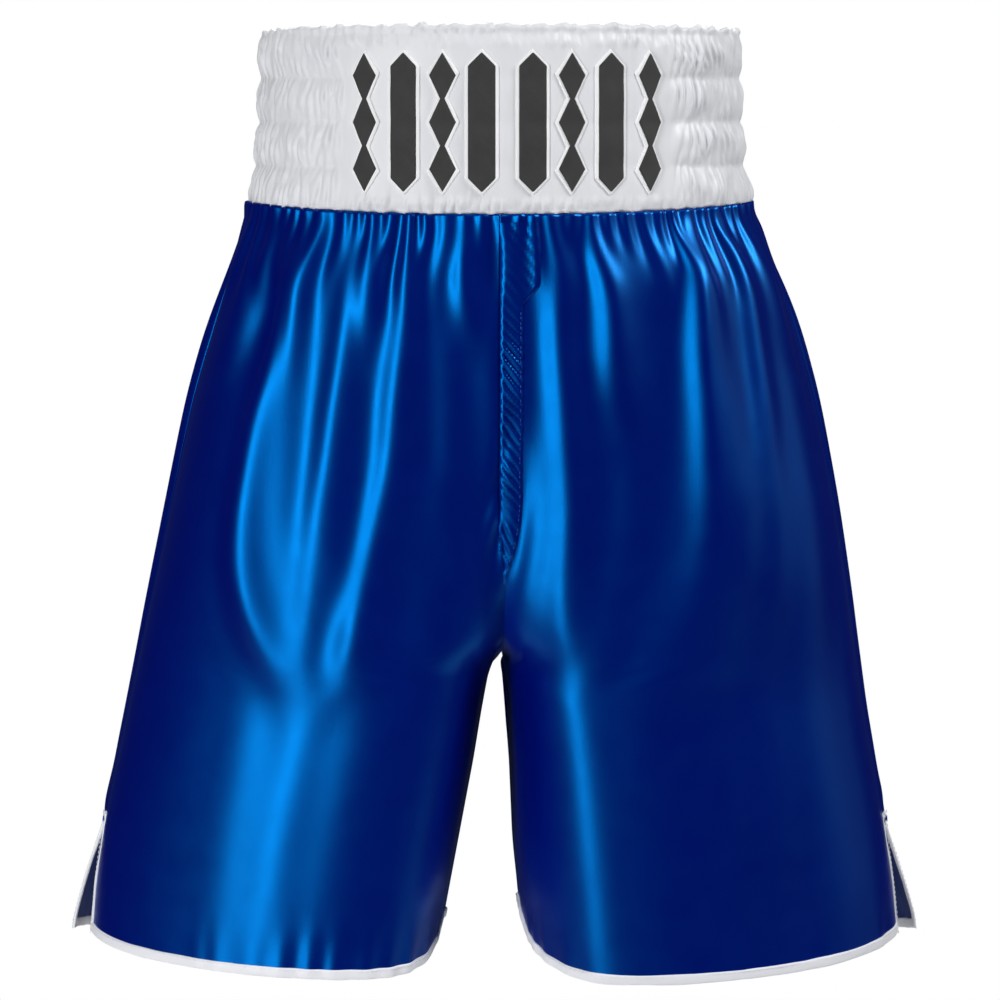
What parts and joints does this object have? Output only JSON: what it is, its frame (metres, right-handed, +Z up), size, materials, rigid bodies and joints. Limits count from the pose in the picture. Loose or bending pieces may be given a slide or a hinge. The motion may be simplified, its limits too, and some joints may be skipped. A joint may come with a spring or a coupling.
{
  "type": "boxing shorts",
  "caption": "Loose satin boxing shorts with a deep shirred elastic waistband, gathered legs, bound hems, open side vents and a row of plain applied motifs.",
  "frame": {"origin": "centre of the waist opening, level with the top edge of the waistband", "axes": "+Z up along the worn shorts, front faces -Y, wearer's left side at +X"},
  "size_m": [0.5008, 0.2123, 0.552],
  "materials": {
    "satin_blue": "glossy royal blue satin",
    "satin_white": "soft white satin",
    "elastic": "woven elastic, matt",
    "binding_white": "satin bias binding",
    "twill_black": "matt tackle twill",
    "twill_white": "matt tackle twill",
    "label_white": "woven label tape, blank",
    "thread_blue": "polyester sewing thread"
  },
  "bodies": {
    "root": {"waistband_outer": "satin_white", "waistband_lining": "satin_white", "elastic_1": "elastic", "elastic_2": "elastic", "elastic_3": "elastic", "elastic_4": "elastic", "border_1": "twill_white", "motif_1": "twill_black", "border_2": "twill_white", "motif_2": "twill_black", "border_3": "twill_white", "motif_3": "twill_black", "border_4": "twill_white", "motif_4": "twill_black", "border_5": "twill_white", "motif_5": "twill_black", "border_6": "twill_white", "motif_6": "twill_black", "border_7": "twill_white", "motif_7": "twill_black", "border_8": "twill_white", "motif_8": "twill_black", "front_left_panel": "satin_blue", "front_left_hem_binding": "binding_white", "front_left_vent_binding": "binding_white", "front_right_panel": "satin_blue", "front_right_hem_binding": "binding_white", "front_right_vent_binding": "binding_white", "back_left_panel": "satin_blue", "back_left_hem_binding": "binding_white", "back_left_vent_binding": "binding_white", "back_right_panel": "satin_blue", "back_right_hem_binding": "binding_white", "back_right_vent_binding": "binding_white", "vent_bar_tack_left": "thread_blue", "vent_bar_tack_right": "thread_blue", "front_rise_strip": "satin_blue", "back_rise_strip": "satin_blue", "care_label": "label_white"}
  },
  "joints": []
}
